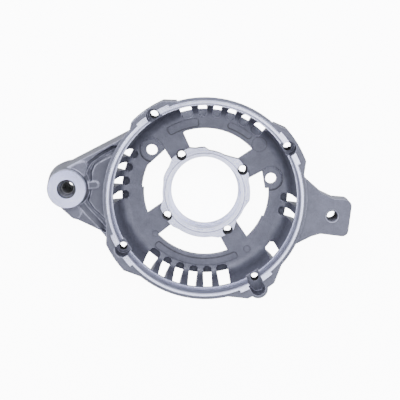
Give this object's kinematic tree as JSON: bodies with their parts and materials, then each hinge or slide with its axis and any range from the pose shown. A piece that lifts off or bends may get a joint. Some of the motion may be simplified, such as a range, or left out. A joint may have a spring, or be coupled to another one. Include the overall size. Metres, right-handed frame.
{
  "type": "alternator end housing",
  "caption": "Cast aluminium drive-end housing of an alternator with a bearing hub, cooling slots, a pivot ear and an adjusting lug.",
  "frame": {"origin": "on the bearing axis, at the nose face of the hub", "axes": "+Z along the bearing axis, from the nose towards the open rim; +X towards the adjusting lug; -X towards the pivot ear"},
  "size_m": [0.2121, 0.14, 0.052],
  "materials": {
    "cast_aluminium": "as cast, with machined faces",
    "steel": "turned"
  },
  "bodies": {
    "root": {"housing": "cast_aluminium", "pivot_bush": "steel"}
  },
  "joints": []
}
